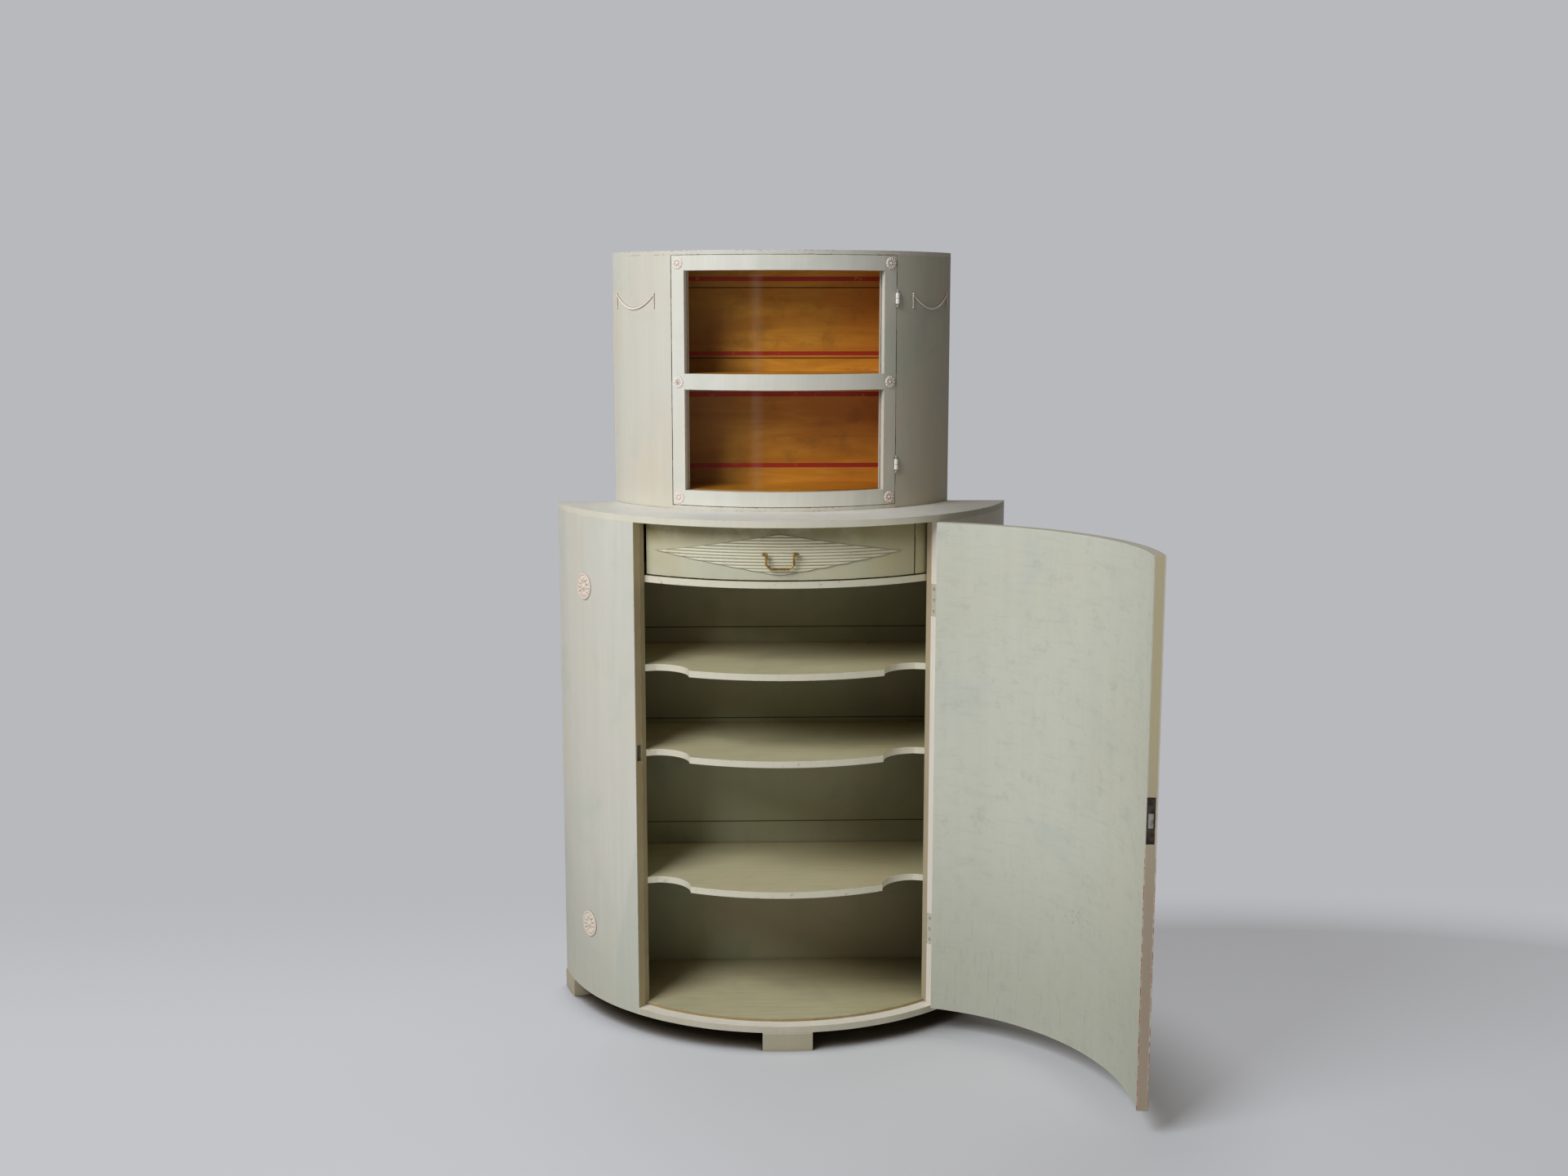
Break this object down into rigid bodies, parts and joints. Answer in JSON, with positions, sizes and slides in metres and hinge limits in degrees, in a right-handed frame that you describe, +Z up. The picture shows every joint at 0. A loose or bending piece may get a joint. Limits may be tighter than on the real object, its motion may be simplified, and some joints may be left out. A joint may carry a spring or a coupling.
{
  "type": "storage cabinet",
  "caption": "Half-round painted cabinet: bowed lower cupboard with curved door, drawer and shelves, and a smaller glazed vitrine on top.",
  "frame": {"origin": "on the floor, at the middle of the front foot's underside", "axes": "+Z up, the front faces -Y, +X to the right seen from the front"},
  "size_m": [1.171, 0.8193, 1.676],
  "materials": {
    "outer_paint": "distressed matt paint over wood",
    "inner_paint": "old olive-grey distemper on boards",
    "door_inner_paint": "scuffed pale grey-green paint",
    "drawer_paint": "pale green-beige paint",
    "stained_wood": "orange-brown stained boards with painted stripes",
    "ornament": "worn painted carving",
    "bare_wood": "unfinished aged wood",
    "brass": "aged brass",
    "iron": "dark worn iron",
    "painted_hinge": "hinges painted over with the wood",
    "glass": "clear old pane"
  },
  "bodies": {
    "carcass": {"lower_top_board": "outer_paint", "lower_base_board": "outer_paint", "lower_floor_board": "inner_paint", "bottom_shelf": "inner_paint", "middle_shelf": "inner_paint", "top_shelf": "inner_paint", "drawer_divider": "inner_paint", "lower_back_board_1": "inner_paint", "lower_back_board_2": "inner_paint", "lower_back_board_3": "inner_paint", "lower_back_board_4": "inner_paint", "left_side_panel": "outer_paint", "right_side_panel": "outer_paint", "jamb_hinge_leaves": "painted_hinge", "jamb_hinge_screws": "painted_hinge", "door_hinge_pins": "painted_hinge", "jamb_posts": "inner_paint", "shelf_cleats": "bare_wood", "front_foot": "outer_paint", "right_back_foot": "outer_paint", "left_back_foot": "outer_paint", "side_rosettes": "ornament", "drawer_filler_stile": "drawer_paint", "drawer_guides": "bare_wood", "vitrine_top_board": "outer_paint", "vitrine_base_board": "outer_paint", "vitrine_floor_board": "stained_wood", "vitrine_shelf": "stained_wood", "vitrine_back_boards": "stained_wood", "vitrine_floor_bearers": "bare_wood", "vitrine_shelf_cleats": "stained_wood", "vitrine_right_panel": "outer_paint", "vitrine_left_panel": "outer_paint", "vitrine_frame_barrels": "painted_hinge", "vitrine_garlands": "ornament"},
    "lower_door": {"lower_door_panel": "outer_paint", "door_hinge_leaves": "painted_hinge", "door_screws": "iron", "door_lock_case": "iron", "door_lock_faceplate": "iron"},
    "door_bolt": {"door_lock_bolt": "iron"},
    "drawer": {"drawer_front": "drawer_paint", "drawer_sides": "bare_wood", "drawer_bottom": "bare_wood", "drawer_back": "bare_wood", "drawer_lozenge": "drawer_paint", "drawer_handle_lugs": "brass"},
    "drawer_bail": {"drawer_bail": "brass"},
    "vitrine_door": {"vitrine_left_stile": "outer_paint", "vitrine_right_stile": "outer_paint", "vitrine_bottom_rail": "outer_paint", "vitrine_middle_rail": "outer_paint", "vitrine_top_rail": "outer_paint", "lower_glass_pane": "glass", "upper_glass_pane": "glass", "vitrine_glazing_beads": "outer_paint", "vitrine_door_rosettes": "ornament", "vitrine_door_barrels": "painted_hinge", "vitrine_lock_case": "iron"},
    "vitrine_bolt": {"vitrine_lock_bolt": "iron"}
  },
  "joints": [
    {"name": "lower_door_hinge", "type": "hinge", "parent": "carcass", "child": "lower_door", "pos_m": [0.31958, 0.09008, 0.6], "axis": [0, 0, 1], "range_deg": [-123, 25]},
    {"name": "drawer_slide", "type": "slide", "parent": "carcass", "child": "drawer", "axis": [0, -1, 0], "range_m": [0, 0.2]},
    {"name": "bail_swing", "type": "hinge", "parent": "drawer", "child": "drawer_bail", "pos_m": [-0.015, 0.009, 1.0585], "axis": [-1, 0, 0], "range_deg": [0, 85]},
    {"name": "vitrine_door_hinge", "type": "hinge", "parent": "carcass", "child": "vitrine_door", "pos_m": [0.24077, 0.222, 1.4], "axis": [0, 0, 1], "range_deg": [0, 110]},
    {"name": "door_bolt_slide", "type": "slide", "parent": "lower_door", "child": "door_bolt", "axis": [-0.0929, -0.9957, 0], "range_m": [0, 0.009]},
    {"name": "vitrine_bolt_slide", "type": "slide", "parent": "vitrine_door", "child": "vitrine_bolt", "axis": [-0.821, 0.571, 0], "range_m": [0, 0.006]}
  ]
}
